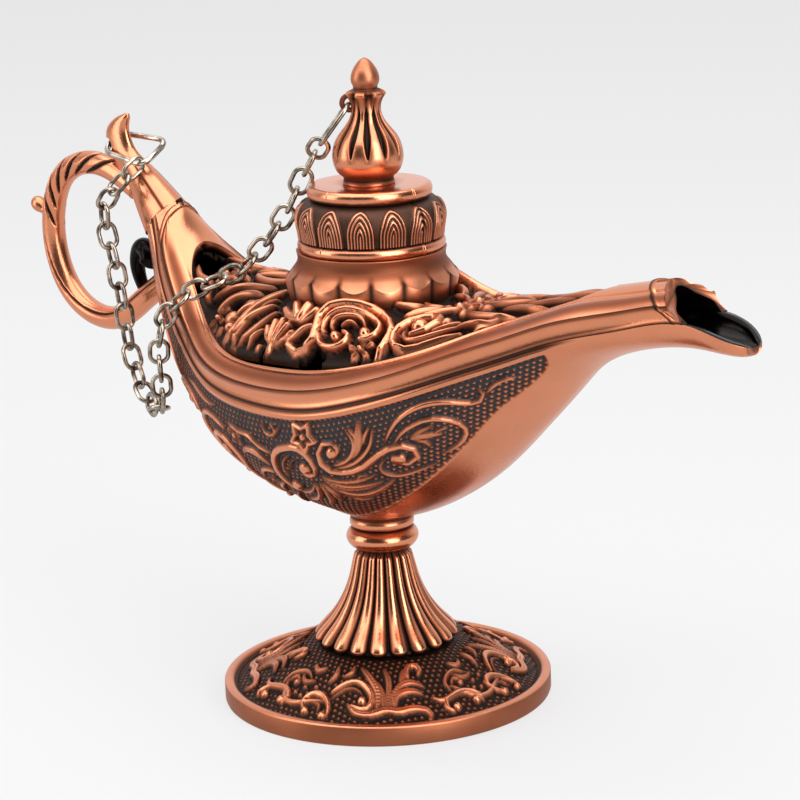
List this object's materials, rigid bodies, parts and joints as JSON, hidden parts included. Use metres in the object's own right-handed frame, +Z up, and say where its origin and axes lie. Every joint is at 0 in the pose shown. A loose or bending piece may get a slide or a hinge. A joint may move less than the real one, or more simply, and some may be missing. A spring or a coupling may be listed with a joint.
{
  "type": "genie_oil_lamp",
  "caption": "Ornamental genie oil lamp in antique copper finish on a fluted stem and round foot, with a loose lid tethered by a chain to a ring at the tail",
  "frame": {"origin": "centre of the foot's underside, on the surface it stands on", "axes": "+X toward the spout, +Y toward the far side of the picture, +Z up"},
  "size_m": [0.2043, 0.07, 0.1364],
  "materials": {
    "antique_copper": "satin antique copper plating on a zinc casting, brightest on the edges",
    "relief_copper": "antique copper relief over a dark oxidised ground",
    "dark_copper": "black oxidised copper, glossy",
    "chain_nickel": "warm aged nickel plating on bent wire",
    "fastener_steel": "plain zinc plated steel"
  },
  "bodies": {
    "lamp": {"foot": "relief_copper", "fluted_stem": "relief_copper", "stem_collar": "antique_copper", "tie_bolt": "fastener_steel", "tie_washer": "fastener_steel", "tie_nut": "fastener_steel", "bowl_near": "relief_copper", "bowl_far": "relief_copper", "cover": "antique_copper", "deck_scrollwork": "relief_copper", "neck_collar": "antique_copper", "tail_horn": "antique_copper", "handle_loop": "antique_copper", "handle_scroll": "dark_copper", "loop_knob": "antique_copper", "chain_fall": "chain_nickel", "chain_rise": "chain_nickel", "chain_span": "chain_nickel"},
    "lid": {"lid_near": "relief_copper", "lid_far": "relief_copper", "finial": "antique_copper", "finial_stud": "fastener_steel", "finial_washer": "fastener_steel", "finial_nut": "fastener_steel", "end_link": "chain_nickel"},
    "ring": {"split_ring": "chain_nickel"}
  },
  "joints": [
    {"name": "lid_lift", "type": "slide", "parent": "lamp", "child": "lid", "axis": [0, 0, 1], "range_m": [0, 0.04], "deforming": ["chain_span"]},
    {"name": "ring_swing", "type": "hinge", "parent": "lamp", "child": "ring", "pos_m": [-0.0784, 0, 0.11188], "axis": [0, -0.866, -0.5], "range_deg": [0, 30], "deforming": ["chain_fall"]}
  ]
}
